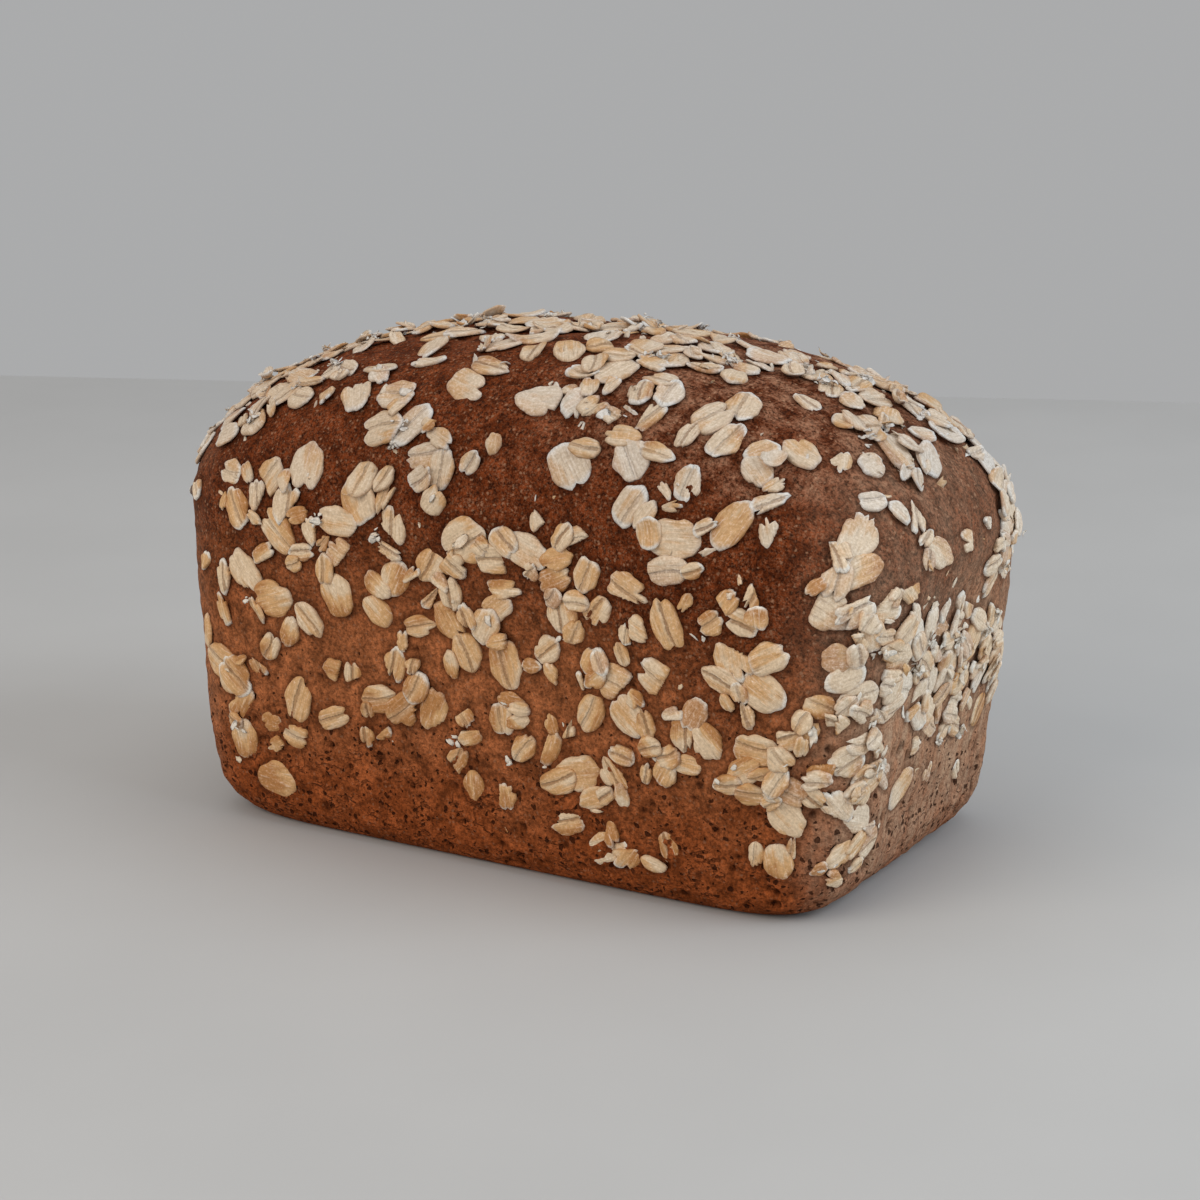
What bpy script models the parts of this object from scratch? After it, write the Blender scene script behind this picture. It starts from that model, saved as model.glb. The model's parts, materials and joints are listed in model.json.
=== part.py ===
"""Whole-grain tin loaf with rolled oats baked onto its crust.

A loaf that was proved and baked in a flared tin: a flat foot, sides that lean
outwards to the shoulder where the tin ended, and a domed crown above it.
Metres, +Z up, origin in the middle of the flat foot, +X along the loaf.
"""

import bisect
import itertools
import math
import random

import bmesh
import bpy
from mathutils import Matrix, Vector

MM = 0.001
TINY = 1e-6

# The loaf without its oats
BASE_LENGTH = 165 * MM
BASE_WIDTH = 94 * MM
CROWN_HEIGHT = 115.8 * MM
SHOULDER_HEIGHT = 75.5 * MM
END_LEAN = 0.160
SIDE_LEAN = 0.068
FOOT_ROUND_HEIGHT = 12.0 * MM
FOOT_ROUND_ENDS = 10.5 * MM
FOOT_ROUND_SIDES = 5.5 * MM

# How square the loaf is seen from above: 2 is an ellipse, 10 nearly a rectangle
FOOT_SQUARENESS = 8.6
SHOULDER_SQUARENESS = 4.2
CROWN_SQUARENESS = 2.0

# How full the crown's section is along and across the loaf
CROWN_FULLNESS_LONG = 2.7
CROWN_FULLNESS_WIDE = 3.3
CROWN_STEP = 3.0
FOOT_ROWS_SHARE = 0.25

# Gentle swells of a hand-filled tin: the share of each wave, its radians a millimetre
# along X, Y and Z, and its phase
SWELL = 0.45 * MM
SWELL_STARTS = 2 * MM
SWELL_FULL = 20 * MM
SWELL_WAVES = (
    (0.5, (0.061, 0.000, -0.074), 2.07),
    (0.5, (0.061, 0.000, 0.074), -0.27),
    (0.7, (0.047, 0.083, 0.000), 2.10),
    (0.5, (0.121, -0.093, 0.110), 0.00),
)

# The grid that the crust is cut from, and the pull of its lines to the corners
CELLS_LONG = 20
CELLS_WIDE = 14
CELLS_HIGH = 10
CORNER_PULL = 0.34

# Oats
OAT_SEED = 10
OAT_COUNT = 880
FUSED_OATS = 204
OAT_LONGEST = 12.4 * MM
OAT_SHORTEST = 4.8 * MM
OAT_SLIMMEST = 0.56
OAT_ROUNDEST = 0.86
OAT_SIDES = 8
OAT_PROUD = 0.75 * MM
OAT_CROWNED = 0.3 * MM
OAT_ROOT = 1.3 * MM
OAT_PROBES = 10
OAT_GIVE = 0.3 * MM
OAT_RAGGED = 0.09
OAT_BEVEL = 0.9
OAT_SIZE_CURVE = 0.8
NEIGHBOUR_REACH = 1.5
SPREAD_TRIES = 90000
CLOSE_IN_TRAIL = 0.46
CLOSE_OUTSIDE = 0.98
LOOSE_CROWN_COVER = 0.08
LOOSE_WALL_COVER = 0.045
BARE_FOOT = 8 * MM
SPARSE_FOOT = 24 * MM
SPARSE_COVER = 0.35

# A trail is full up to the first share of its reach and gone at the second
TRAIL_FULL = 0.5
TRAIL_GONE = 1.3

# Where the oats gathered, in millimetres: reach, cover, and the way points.
# The far side has the same trails turned half round.
TRAILS = (
    (9, 1.0, (-67, -48, 83), (-58, -50, 80), (-44, -51, 85), (-27, -52, 84)),
    (8, 1.0, (-77, -40, 90), (-72, -37, 95), (-64, -32, 102), (-51, -33, 106)),
    (4, 0.9, (-81, -39, 80), (-81, -39, 74)),
    (10, 1.0, (-49, -51, 71), (-26, -52, 73), (-14, -52, 66), (-1, -52, 70), (22, -52, 77)),
    (9, 1.0, (22, -52, 79), (26, -51, 62), (37, -50, 47), (56, -49, 42)),
    (6, 1.0, (-1, -52, 72), (1, -51, 58)),
    (6, 0.9, (-29, -51, 61), (-18, -51, 56)),
    (8, 0.7, (-76, -46, 49), (-52, -50, 54)),
    (6, 0.8, (-76, -45, 62), (-63, -49, 59)),
    (9, 0.9, (-72, -47, 38), (-64, -47, 22)),
    (4, 0.8, (-63, -47, 13), (-57, -47, 13)),
    (10, 0.75, (-47, -49, 33), (-16, -50, 42), (-7, -49, 30)),
    (4, 0.9, (-3, -48, 20), (6, -48, 20), (10, -48, 13)),
    (7, 0.7, (-7, -51, 52), (18, -51, 52)),
    (7, 1.0, (9, -50, 40), (20, -49, 29)),
    (5, 1.0, (37, -51, 68), (39, -51, 63)),
    (5, 1.0, (33, -50, 39), (31, -48, 18)),
    (7, 1.0, (44, -50, 43), (47, -49, 33)),
    (5, 0.9, (50, -50, 69), (58, -50, 63)),
    (9, 1.0, (64, -49, 68), (66, -48, 54)),
    (8, 1.0, (66, -48, 34), (76, -45, 33), (69, -47, 26)),
    (4, 0.9, (71, -46, 17), (73, -45, 10)),
    (4, 0.8, (21, -47, 13), (33, -47, 10), (50, -48, 11)),
    (8, 1.0, (80, -45, 46), (91, -29, 60)),
    (10, 1.0, (92, -30, 69), (88, -31, 41), (84, -40, 30), (84, -33, 17)),
    (11, 1.0, (92, -16, 58), (90, 8, 52), (89, 25, 41)),
    (7, 0.9, (90, -12, 44), (88, 3, 38)),
    (7, 1.0, (85, -34, 88), (82, -41, 76), (85, -40, 63)),
    (5, 0.9, (90, -22, 90), (94, -18, 80)),
    (6, 1.0, (71, -12, 105), (82, -6, 98), (84, -18, 95)),
    (5, 0.9, (71, -33, 100), (77, -28, 98)),
    (9, 1.0, (45, 6, 114), (75, 16, 103), (91, 25, 86), (95, 19, 72)),
    (7, 0.95, (50, 0, 113), (65, -1, 108), (72, 5, 105)),
    (7, 1.0, (45, -48, 91), (49, -51, 82), (59, -49, 86), (66, -44, 91), (63, -38, 99)),
    (11, 1.0, (-27, -6, 116), (5, 6, 117), (41, 3, 115)),
    (5, 0.85, (-12, -24, 114), (12, -17, 115)),
    (6, 1.0, (24, -12, 115), (42, -12, 114)),
    (9, 1.0, (22, -35, 110), (21, -25, 114), (33, -31, 111), (31, -41, 106)),
    (5, 1.0, (48, -38, 103), (54, -27, 108)),
    (5, 0.9, (6, -40, 108), (10, -40, 108)),
    (5, 0.9, (-11, -36, 110), (-5, -34, 111)),
    (4, 0.9, (-28, -31, 111), (-22, -31, 112)),
    (8, 1.0, (-41, -34, 108), (-29, -42, 104), (-20, -45, 100), (-10, -50, 91)),
    (4, 0.9, (17, -49, 91), (17, -50, 88)),
    (4, 1.0, (23, -46, 99), (23, -48, 95)),
    (4, 1.0, (39, -45, 99), (40, -47, 94)),
)

CRUST_COLOUR = (0.135, 0.048, 0.022, 1.0)
OAT_COLOUR = (0.520, 0.340, 0.180, 1.0)


def start_empty():
    """Removes whatever the open file holds."""
    for thing in list(bpy.data.objects):
        bpy.data.objects.remove(thing)


def material(name, colour, roughness):
    made = bpy.data.materials.new(name)
    made.use_nodes = True
    shader = made.node_tree.nodes["Principled BSDF"]
    shader.inputs["Base Color"].default_value = colour
    shader.inputs["Roughness"].default_value = roughness
    shader.inputs["Metallic"].default_value = 0.0
    return made


def ramp(value, start, end):
    """0 before start, 1 after end and smooth between them."""
    share = min(1.0, max(0.0, (value - start) / (end - start)))
    return share * share * (3 - 2 * share)


def wall_ring(share):
    """Height, half length, half width and squareness of the wall, from foot (0) to shoulder (1)."""
    if share < FOOT_ROWS_SHARE:
        turn = share / FOOT_ROWS_SHARE * math.pi / 2
        height = FOOT_ROUND_HEIGHT * (1 - math.cos(turn))
        tucked = 1 - math.sin(turn)
    else:
        rise = (share - FOOT_ROWS_SHARE) / (1 - FOOT_ROWS_SHARE)
        height = FOOT_ROUND_HEIGHT + rise * (SHOULDER_HEIGHT - FOOT_ROUND_HEIGHT)
        tucked = 0.0
    half_length = BASE_LENGTH / 2 + END_LEAN * height - FOOT_ROUND_ENDS * tucked
    half_width = BASE_WIDTH / 2 + SIDE_LEAN * height - FOOT_ROUND_SIDES * tucked
    squareness = FOOT_SQUARENESS + (SHOULDER_SQUARENESS - FOOT_SQUARENESS) * height / SHOULDER_HEIGHT
    return height, half_length, half_width, squareness


def crown_ring(share):
    """The same for the crown, from its highest point (0) to the shoulder (1)."""
    opened = math.sin(share * math.pi / 2) ** CROWN_STEP
    climb = math.sqrt(max(0.0, 1 - opened))
    _, half_length, half_width, _ = wall_ring(1.0)
    height = SHOULDER_HEIGHT + (CROWN_HEIGHT - SHOULDER_HEIGHT) * climb
    half_length *= opened ** (1 / CROWN_FULLNESS_LONG)
    half_width *= opened ** (1 / CROWN_FULLNESS_WIDE)
    squareness = SHOULDER_SQUARENESS + (CROWN_SQUARENESS - SHOULDER_SQUARENESS) * climb
    return height, half_length, half_width, squareness


def loaf_point(corner, pull):
    """Where a point of the cube from -1 to 1 lies on the loaf."""
    x, y = (c * (1 + pull * (1 - c * c)) for c in corner.xy)
    ring = max(abs(x), abs(y))
    if corner.z > 1 - TINY:
        height, half_length, half_width, squareness = crown_ring(ring)
    else:
        height, half_length, half_width, squareness = wall_ring((corner.z + 1) / 2)
        if corner.z < -1 + TINY:
            half_length *= ring
            half_width *= ring
    if ring < TINY:
        return Vector((0, 0, height))
    x, y = x / ring, y / ring
    reach = (abs(x) ** squareness + abs(y) ** squareness) ** (-1 / squareness)
    return Vector((half_length * x * reach, half_width * y * reach, height))


def swell(point):
    """How far the crust stands out of the plain form at a point."""
    waves = sum(
        share * math.sin(point.dot(Vector(turns)) / MM + phase) for share, turns, phase in SWELL_WAVES
    )
    return SWELL * waves * ramp(point.z, SWELL_STARTS, SWELL_FULL)


def crust(cells_long, cells_wide, cells_high, pull):
    """The bare loaf as a bmesh: a cube cut into a grid, and its points moved to the loaf's form."""
    bm = bmesh.new()
    bmesh.ops.create_cube(bm, size=2.0)
    for axis, cells in enumerate((cells_long, cells_wide, cells_high)):
        along = [e for e in bm.edges if abs(e.verts[0].co[axis] - e.verts[1].co[axis]) > TINY]
        bmesh.ops.subdivide_edges(bm, edges=along, cuts=cells - 1, use_grid_fill=True)
    for vert in bm.verts:
        vert.co = loaf_point(vert.co, pull)
    bm.normal_update()
    moves = [vert.normal * swell(vert.co) for vert in bm.verts]
    for vert, move in zip(bm.verts, moves):
        vert.co += move
    bm.normal_update()
    return bm


class Ground:
    """Picks random points of a surface, each part as often as its area."""

    def __init__(self, bm):
        bm.verts.ensure_lookup_table()
        self.corners = []
        for loops in bm.calc_loop_triangles():
            self.corners.append([(loop.vert.co.copy(), loop.vert.normal.copy()) for loop in loops])
        areas = [(b[0] - a[0]).cross(c[0] - a[0]).length for a, b, c in self.corners]
        self.areas = list(itertools.accumulate(areas))

    def pick(self, rng):
        index = bisect.bisect(self.areas, rng.random() * self.areas[-1])
        (a, na), (b, nb), (c, nc) = self.corners[min(index, len(self.corners) - 1)]
        u, v = rng.random(), rng.random()
        if u + v > 1:
            u, v = 1 - u, 1 - v
        return a + (b - a) * u + (c - a) * v, (na + (nb - na) * u + (nc - na) * v).normalized()


def trail_cover(point):
    """How thickly the trails cover a point, from 0 to 1."""
    best = 0.0
    for side in (1, -1):
        turned = Vector((point.x * side, point.y * side, point.z)) / MM
        for reach, cover, *way in TRAILS:
            for start, end in itertools.pairwise(way):
                start, end = Vector(start), Vector(end)
                run = end - start
                share = min(1.0, max(0.0, (turned - start).dot(run) / run.length_squared))
                away = (turned - start - run * share).length
                best = max(best, cover * (1 - ramp(away, TRAIL_FULL * reach, TRAIL_GONE * reach)))
    return best


class Oat:
    """One rolled oat on the crust: its place, its size and how it lies over its neighbours."""

    def __init__(self, centre, normal, rng, length):
        self.centre = centre
        self.length = length
        self.width = length * rng.uniform(OAT_SLIMMEST, OAT_ROUNDEST)
        spin = Matrix.Rotation(rng.uniform(0, math.tau), 4, "Z")
        turn = normal.to_track_quat("Z", "Y").to_matrix().to_4x4()
        self.frame = Matrix.Translation(centre) @ turn @ spin
        self.inverse = self.frame.inverted()
        self.ragged = [1 + rng.uniform(-OAT_RAGGED, OAT_RAGGED) for _ in range(OAT_SIDES)]
        self.lift = self.rise_long = self.rise_wide = 0.0

    def height(self, x, y):
        """How far its underside is lifted off the crust at a point of its own plane."""
        return self.lift + self.rise_long * x + self.rise_wide * y

    def top_over(self, point):
        """Height of its upper face over the crust if it lies under the point, and else 0."""
        near = self.inverse @ point
        if (near.x * 2 / self.length) ** 2 + (near.y * 2 / self.width) ** 2 > 1:
            return 0.0
        return self.height(near.x, near.y) + OAT_PROUD

    def rest_on(self, others):
        """Lifts and tips the oat where it lies over earlier ones, like a shingle."""
        angles = [math.tau * k / OAT_PROBES for k in range(OAT_PROBES)]
        probes = [(math.cos(a) * self.length / 2, math.sin(a) * self.width / 2) for a in angles]
        probes.append((0.0, 0.0))
        spots = [self.frame @ Vector((x, y, 0)) for x, y in probes]
        under = [max((o.top_over(spot) for o in others), default=0.0) for spot in spots]
        self.lift = sum(under) / len(under)
        self.rise_long = sum(h * x for h, (x, _) in zip(under, probes)) / sum(x * x for x, _ in probes)
        self.rise_wide = sum(h * y for h, (_, y) in zip(under, probes)) / sum(y * y for _, y in probes)
        sunk = max(h - self.height(x, y) for h, (x, y) in zip(under, probes))
        self.lift += max(0.0, sunk - OAT_GIVE)


def scatter_oats(ground):
    """The oats, largest first, gathered along the trails and thin elsewhere."""
    rng = random.Random(OAT_SEED)
    oats = []
    for _ in range(SPREAD_TRIES):
        if len(oats) == OAT_COUNT:
            break
        length = OAT_LONGEST - (OAT_LONGEST - OAT_SHORTEST) * (len(oats) / OAT_COUNT) ** OAT_SIZE_CURVE
        point, normal = ground.pick(rng)
        if point.z < BARE_FOOT:
            continue
        in_trail = trail_cover(point)
        loose = LOOSE_CROWN_COVER if point.z > SHOULDER_HEIGHT else LOOSE_WALL_COVER
        off_foot = ramp(point.z, BARE_FOOT, SPARSE_FOOT)
        cover = max(in_trail, loose * (SPARSE_COVER + (1 - SPARSE_COVER) * off_foot))
        if rng.random() > cover:
            continue
        close = CLOSE_OUTSIDE + (CLOSE_IN_TRAIL - CLOSE_OUTSIDE) * in_trail
        near = [o for o in oats if (o.centre - point).length < length * NEIGHBOUR_REACH]
        if any((o.centre - point).length < close * (o.length + length) / 2 for o in near):
            continue
        oat = Oat(point, normal, rng, length)
        oat.rest_on(near)
        oats.append(oat)
    return oats


def oat_object(oat, name, finish):
    """A puck with an uneven rim and a raised middle, rooted in the crust."""
    bm = bmesh.new()
    bmesh.ops.create_cone(bm, cap_ends=True, segments=OAT_SIDES, radius1=1.0, radius2=OAT_BEVEL, depth=1.0)
    top = max(bm.faces, key=lambda face: face.calc_center_median().z)
    middle = bmesh.ops.poke(bm, faces=[top])["verts"][0]
    for vert in bm.verts:
        place = round(math.atan2(vert.co.y, vert.co.x) / math.tau * OAT_SIDES) % OAT_SIDES
        x = vert.co.x * oat.length / 2 * oat.ragged[place]
        y = vert.co.y * oat.width / 2 * oat.ragged[place]
        vert.co = (x, y, OAT_PROUD + oat.height(x, y) if vert.co.z > 0 else -OAT_ROOT)
    middle.co.z += OAT_CROWNED
    bm.transform(oat.frame)
    mesh = bpy.data.meshes.new(name)
    bm.to_mesh(mesh)
    bm.free()
    mesh.materials.append(finish)
    return bpy.data.objects.new(name, mesh)


def fuse(core, things):
    """Joins every object of a collection to the core, and removes them."""
    union = core.modifiers.new("oats", "BOOLEAN")
    union.operation = "UNION"
    union.operand_type = "COLLECTION"
    union.collection = things
    union.solver = "EXACT"
    union.material_mode = "TRANSFER"
    bpy.context.view_layer.objects.active = core
    bpy.ops.object.modifier_apply(modifier=union.name)
    for thing in list(things.objects):
        bpy.data.objects.remove(thing)
    bpy.data.collections.remove(things)


def build_loaf():
    crust_finish = material("crust", CRUST_COLOUR, 0.8)
    oat_finish = material("rolled_oat", OAT_COLOUR, 0.7)
    bm = crust(CELLS_LONG, CELLS_WIDE, CELLS_HIGH, CORNER_PULL)
    oats = scatter_oats(Ground(bm))
    foot = [face for face in bm.faces if all(vert.co.z < TINY for vert in face.verts)]
    bmesh.ops.dissolve_faces(bm, faces=foot, use_verts=True)
    mesh = bpy.data.meshes.new("loaf")
    bm.to_mesh(mesh)
    bm.free()
    mesh.materials.append(crust_finish)
    loaf = bpy.data.objects.new("loaf", mesh)
    bpy.context.scene.collection.objects.link(loaf)
    things = bpy.data.collections.new("oats")
    bpy.context.scene.collection.children.link(things)
    for number, oat in enumerate(oats[:FUSED_OATS]):
        things.objects.link(oat_object(oat, f"oat_{number}", oat_finish))
    fuse(loaf, things)
    return loaf


start_empty()
build_loaf()
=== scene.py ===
"""Looks of a whole-grain tin loaf with rolled oats baked onto its crust.

The crust, the oat flakes and the shards between them are modelled at their real
size in metres, +Z up, with the origin in the middle of the flat foot.
"""

import bisect
import functools
import itertools
import json
import math
import random

import bmesh
import bpy
from bpy.props import FloatProperty, FloatVectorProperty, IntProperty, PointerProperty
from mathutils import Matrix, Vector, noise
from mathutils.bvhtree import BVHTree
from mathutils.kdtree import KDTree

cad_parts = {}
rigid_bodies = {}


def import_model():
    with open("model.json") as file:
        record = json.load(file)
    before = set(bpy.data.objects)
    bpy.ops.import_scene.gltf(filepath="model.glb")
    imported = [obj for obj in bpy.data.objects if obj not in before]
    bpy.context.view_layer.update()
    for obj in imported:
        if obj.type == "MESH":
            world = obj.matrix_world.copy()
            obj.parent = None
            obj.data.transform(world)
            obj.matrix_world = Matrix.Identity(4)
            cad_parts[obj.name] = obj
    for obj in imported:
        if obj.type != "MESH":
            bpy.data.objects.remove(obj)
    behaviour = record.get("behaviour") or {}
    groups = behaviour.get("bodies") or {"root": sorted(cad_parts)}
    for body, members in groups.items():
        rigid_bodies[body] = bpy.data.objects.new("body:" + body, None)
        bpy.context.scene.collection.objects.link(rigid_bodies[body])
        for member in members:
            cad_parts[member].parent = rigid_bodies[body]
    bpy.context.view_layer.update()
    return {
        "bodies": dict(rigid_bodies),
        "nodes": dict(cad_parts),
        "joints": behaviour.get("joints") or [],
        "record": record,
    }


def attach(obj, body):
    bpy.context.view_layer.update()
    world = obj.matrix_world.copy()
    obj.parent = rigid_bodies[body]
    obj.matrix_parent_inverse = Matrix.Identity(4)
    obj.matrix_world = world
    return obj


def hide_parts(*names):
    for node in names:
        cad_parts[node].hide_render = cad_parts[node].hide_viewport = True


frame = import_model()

bl_info = {
    "name": "Oat-crusted tin loaf",
    "version": (1, 0, 0),
    "blender": (4, 5, 0),
    "location": "3D View > Sidebar > Tin loaf",
    "description": "Makes the crust, the rolled oats and the stage of a whole-grain tin loaf",
    "category": "Add Mesh",
}

MM = 0.001
TINY = 1e-6

# The foot's rounding, and how square the loaf is seen from above
FOOT_ROUND_HEIGHT = 12.0 * MM
FOOT_ROUND_ENDS = 10.5 * MM
FOOT_ROUND_SIDES = 5.5 * MM
FOOT_SQUARENESS = 8.6
SHOULDER_SQUARENESS = 4.2
CROWN_SQUARENESS = 2.0
CROWN_FULLNESS_LONG = 2.7
CROWN_FULLNESS_WIDE = 3.3
CROWN_STEP = 3.0
FOOT_ROWS_SHARE = 0.25

# Gentle swells of a hand-filled tin: the share of each wave, its radians a millimetre
# along X, Y and Z, and its phase
SWELL_STARTS = 2 * MM
SWELL_FULL = 20 * MM
SWELL_WAVES = (
    (0.5, (0.061, 0.000, -0.074), 2.07),
    (0.5, (0.061, 0.000, 0.074), -0.27),
    (0.7, (0.047, 0.083, 0.000), 2.10),
    (0.5, (0.121, -0.093, 0.110), 0.00),
)

# Cells along, across and up of the grids: the one that the oats are dealt on, the one
# that they are pressed to, and the crust that shows
DEALING_GRID = (20, 14, 10, 0.34)
PRESSING_GRID = (90, 56, 50, 0.20)
CRUST_GRID = (194, 120, 108, 0.10)

# Relief of the crust: the width and depth of its lumps and crags
LUMP = (21 * MM, 0.45 * MM)
CRAG = (5.5 * MM, 0.42 * MM)
CRUMB = (2.6 * MM, 0.27 * MM)
FLAT_FOOT = 0.4 * MM
ROUGH_FROM = 3.5 * MM
PIT_SEED = 5
PIT_WIDTHS = (0.9 * MM, 1.7 * MM)
WIDE_PIT_WIDTHS = (1.8 * MM, 3.0 * MM)
WIDE_PIT_SHARE = 0.09
PIT_DEPTH_SHARES = (0.45, 0.95)
PIT_BLUNTNESS = 1.5
PITTED_BELOW = (18 * MM, 52 * MM)
PITS_ON_CROWN = 0.05
END_WALL = (80 * MM, 90 * MM)
END_PIT_STRETCH = 1.3

# Grain of the crust's colour
CLOUDS = 17 * MM
PATCHES = 4.2 * MM
SAND = 0.85 * MM
GRIT = 0.42 * MM
BRAN_CELLS = 1.05 * MM
BRAN_STIR = (0.8 * MM, 0.5 * MM)
PINHOLE_CELLS = 1.6 * MM
PINHOLE_STIR = (1.3 * MM, 0.8 * MM)
FLOUR_STREAKS = (5 * MM, 3 * MM, 16 * MM)
FURROWS = (7 * MM, 7 * MM, 4.5 * MM)
CRUST_BUMPS = 0.75 * MM

# Where the bake, the flour and the painted sheen change: first and last place, then how much at each
BAKE_WANDERS = 34 * MM
CROWN_BAKE = (47 * MM, 85 * MM)
FOOT_BAKE = (6 * MM, 42 * MM)
SIDES_MEET = (-20 * MM, 20 * MM, 1.0, -1.0)
RIGHT_BAKE = (14 * MM, 50 * MM, 0.0, 13 * MM)
LEFT_BAKE = (-52 * MM, -80 * MM, 0.0, 9 * MM)
END_WANDERS = 14 * MM
FLOURED_END = (69 * MM, 89 * MM)
LESS_ON_LEFT = (-60 * MM, 0.0, 0.35, 1.0)
LESS_AT_CORNERS = (53 * MM, 34 * MM, 0.45, 1.0)
SETTLED_LOW = (84 * MM, 36 * MM, 0.34, 1.06)
FLOUR_AND_SHEEN_HIGH = (84 * MM, 110 * MM)
FLOUR_AND_SHEEN_RIGHT = (-10 * MM, 55 * MM)
PINHOLES_LOW = (56 * MM, 16 * MM, 0.12, 1.0)
FURROWS_LOW = (34 * MM, 12 * MM)

# Grain of an oat's colour, the last two on its own map, in millimetres
OAT_CLOUDS = 2.6 * MM
OAT_FLECKS = 0.65 * MM
OAT_BANDS = (9.0, 1.5, 1.0)
OAT_STREAKS = (5.0, 0.45, 1.0)
OAT_BUMPS = 0.38 * MM
# Where the painted shade on the oats high on the crown begins and is full
DARKER_HIGH = (72 * MM, 98 * MM)

# How the oats were dealt out
OAT_SLIMMEST = 0.56
OAT_ROUNDEST = 0.86
OAT_SIDES = 8
OAT_PROUD = 0.75 * MM
OAT_PROBES = 10
OAT_GIVE = 0.3 * MM
OAT_RAGGED = 0.09
OAT_SIZE_CURVE = 0.8
NEIGHBOUR_REACH = 1.5
SPREAD_TRIES = 90000
LATE_FROM = 70 * MM
LATE_LENGTHS = (5.2 * MM, 9.0 * MM)
LATE_CLOSE = 0.8
CLOSE_IN_TRAIL = 0.46
CLOSE_OUTSIDE = 0.98
LOOSE_CROWN_COVER = 0.08
LOOSE_WALL_COVER = 0.045
BARE_FOOT = 8 * MM
SPARSE_FOOT = 24 * MM
SPARSE_COVER = 0.35
TRAIL_FULL = 0.5
TRAIL_GONE = 1.3

# Where the oats gathered, in millimetres: reach, cover, and the way points.
# The far side has the same trails turned half round.
TRAILS = (
    (9, 1.0, (-67, -48, 83), (-58, -50, 80), (-44, -51, 85), (-27, -52, 84)),
    (8, 1.0, (-77, -40, 90), (-72, -37, 95), (-64, -32, 102), (-51, -33, 106)),
    (4, 0.9, (-81, -39, 80), (-81, -39, 74)),
    (10, 1.0, (-49, -51, 71), (-26, -52, 73), (-14, -52, 66), (-1, -52, 70), (22, -52, 77)),
    (9, 1.0, (22, -52, 79), (26, -51, 62), (37, -50, 47), (56, -49, 42)),
    (6, 1.0, (-1, -52, 72), (1, -51, 58)),
    (6, 0.9, (-29, -51, 61), (-18, -51, 56)),
    (8, 0.7, (-76, -46, 49), (-52, -50, 54)),
    (6, 0.8, (-76, -45, 62), (-63, -49, 59)),
    (9, 0.9, (-72, -47, 38), (-64, -47, 22)),
    (4, 0.8, (-63, -47, 13), (-57, -47, 13)),
    (10, 0.75, (-47, -49, 33), (-16, -50, 42), (-7, -49, 30)),
    (4, 0.9, (-3, -48, 20), (6, -48, 20), (10, -48, 13)),
    (7, 0.7, (-7, -51, 52), (18, -51, 52)),
    (7, 1.0, (9, -50, 40), (20, -49, 29)),
    (5, 1.0, (37, -51, 68), (39, -51, 63)),
    (5, 1.0, (33, -50, 39), (31, -48, 18)),
    (7, 1.0, (44, -50, 43), (47, -49, 33)),
    (5, 0.9, (50, -50, 69), (58, -50, 63)),
    (9, 1.0, (64, -49, 68), (66, -48, 54)),
    (8, 1.0, (66, -48, 34), (76, -45, 33), (69, -47, 26)),
    (4, 0.9, (71, -46, 17), (73, -45, 10)),
    (4, 0.8, (21, -47, 13), (33, -47, 10), (50, -48, 11)),
    (8, 1.0, (80, -45, 46), (91, -29, 60)),
    (10, 1.0, (92, -30, 69), (88, -31, 41), (84, -40, 30), (84, -33, 17)),
    (11, 1.0, (92, -16, 58), (90, 8, 52), (89, 25, 41)),
    (7, 0.9, (90, -12, 44), (88, 3, 38)),
    (7, 1.0, (85, -34, 88), (82, -41, 76), (85, -40, 63)),
    (5, 0.9, (90, -22, 90), (94, -18, 80)),
    (6, 1.0, (71, -12, 105), (82, -6, 98), (84, -18, 95)),
    (5, 0.9, (71, -33, 100), (77, -28, 98)),
    (9, 1.0, (45, 6, 114), (75, 16, 103), (91, 25, 86), (95, 19, 72)),
    (7, 0.95, (50, 0, 113), (65, -1, 108), (72, 5, 105)),
    (7, 1.0, (45, -48, 91), (49, -51, 82), (59, -49, 86), (66, -44, 91), (63, -38, 99)),
    (11, 1.0, (-27, -6, 116), (5, 6, 117), (41, 3, 115)),
    (5, 0.85, (-12, -24, 114), (12, -17, 115)),
    (6, 1.0, (24, -12, 115), (42, -12, 114)),
    (9, 1.0, (22, -35, 110), (21, -25, 114), (33, -31, 111), (31, -41, 106)),
    (5, 1.0, (48, -38, 103), (54, -27, 108)),
    (5, 0.9, (6, -40, 108), (10, -40, 108)),
    (5, 0.9, (-11, -36, 110), (-5, -34, 111)),
    (4, 0.9, (-28, -31, 111), (-22, -31, 112)),
    (8, 1.0, (-41, -34, 108), (-29, -42, 104), (-20, -45, 100), (-10, -50, 91)),
    (4, 0.9, (17, -49, 91), (17, -50, 88)),
    (4, 1.0, (23, -46, 99), (23, -48, 95)),
    (4, 1.0, (39, -45, 99), (40, -47, 94)),
)

# How a flake is made
FLAKE_SEED = 700
LARGE_CUTS = (36, 10)
SMALL_CUTS = (32, 8)
TORN_CUTS = (36, 8)
RIM_PLACES = 32
FLAKE_ROOT = 0.42 * MM
LIFTED_ROOT = 0.12 * MM
LIFTED_FROM = 0.15 * MM
BLUNT_RIM = 8
NO_CREASE = 9.0
PRESS_REACH = 8 * MM
PRESSED = 0.9
TORN_AMONG_LARGE = 0.16
TORN_AMONG_SMALL = 0.42
LARGE_OATS = 204
ON_CROWN = (72 * MM, 92 * MM)

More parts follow.
